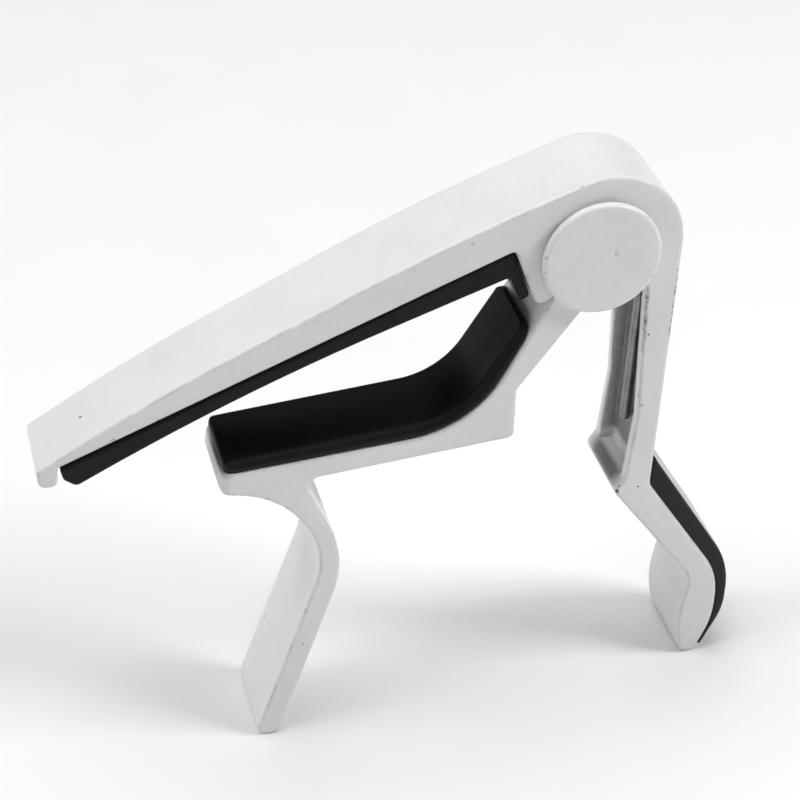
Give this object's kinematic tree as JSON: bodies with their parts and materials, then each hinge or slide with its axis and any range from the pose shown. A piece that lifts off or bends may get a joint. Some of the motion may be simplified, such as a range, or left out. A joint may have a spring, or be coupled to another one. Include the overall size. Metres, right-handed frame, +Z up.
{
  "type": "guitar capo",
  "caption": "Spring-loaded trigger capo: a rubber-faced fret bar and a padded cradle hinged on one pin, closed by a torsion spring, squeezed open by two handles.",
  "frame": {"origin": "on the ground under the middle of the capo as it stands on its two handle ends", "axes": "+Z up; +X from the fret bar's tip towards the trigger; the pivot axis runs along Y"},
  "size_m": [0.0844, 0.0142, 0.0722],
  "materials": {
    "white_paint": "satin white enamel on cast metal",
    "black_rubber": "matte moulded rubber",
    "spring_steel": "drawn spring wire",
    "pin_steel": "ground steel"
  },
  "bodies": {
    "lower_jaw_body": {"lower_jaw": "white_paint", "neck_pad": "black_rubber", "pivot_pin": "pin_steel", "pivot_cap_front": "white_paint", "pivot_cap_rear": "white_paint", "torsion_spring": "spring_steel"},
    "upper_jaw_body": {"upper_jaw": "white_paint", "string_pad": "black_rubber", "trigger_pad": "black_rubber"}
  },
  "joints": [
    {"name": "jaw_hinge", "type": "hinge", "parent": "lower_jaw_body", "child": "upper_jaw_body", "pos_m": [0.02365, 0, 0.06262], "axis": [0, 1, 0], "range_deg": [0, 32], "stiffness_Nm_per_rad": 0.6, "springref_deg": -22.92, "deforming": ["torsion_spring"]}
  ]
}
